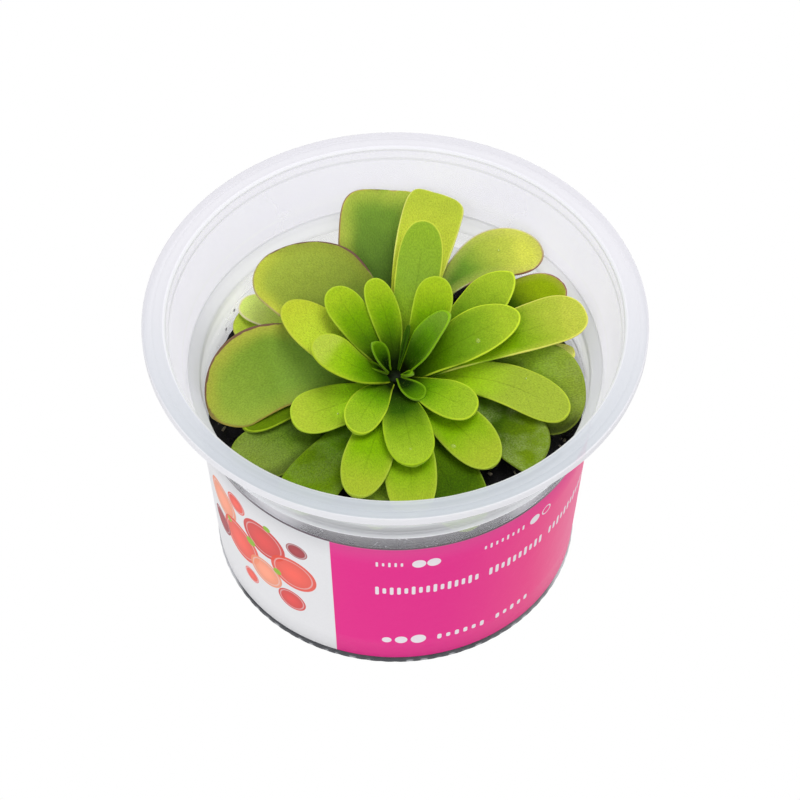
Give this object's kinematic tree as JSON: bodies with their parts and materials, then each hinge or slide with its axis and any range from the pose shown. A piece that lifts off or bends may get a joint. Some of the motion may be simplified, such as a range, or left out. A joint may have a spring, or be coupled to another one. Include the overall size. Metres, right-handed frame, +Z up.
{
  "type": "butterwort in growing cup",
  "caption": "Flat rosette of spoon-shaped butterwort leaves rooted in dark growing medium inside a clear tapered cup with a wide flanged rim and a wrap-around label.",
  "frame": {"origin": "middle of the cup's underside, on the surface it stands on", "axes": "+Z up along the cup's axis, -Y towards the front of the label, +X to the right of it"},
  "size_m": [0.1, 0.1, 0.0661],
  "materials": {
    "clear_plastic": "clear, slightly frosted moulded polypropylene",
    "printed_label": "printed film, satin, bright pink with a white panel",
    "dark_medium": "moist black peat with pale grit",
    "root": "pale fibrous rootstock",
    "old_leaf": "succulent leaf, satin, deep green with a yellow-green edge and a thin purple margin",
    "grown_leaf": "succulent leaf, satin, bright yellow-green",
    "young_leaf": "succulent leaf, satin, fresh green with a lighter edge"
  },
  "bodies": {
    "root": {"cup": "clear_plastic", "label": "printed_label", "growing_medium": "dark_medium", "rootstock": "root", "outer_leaves": "old_leaf", "middle_leaves": "grown_leaf", "heart_leaves": "young_leaf"}
  },
  "joints": []
}
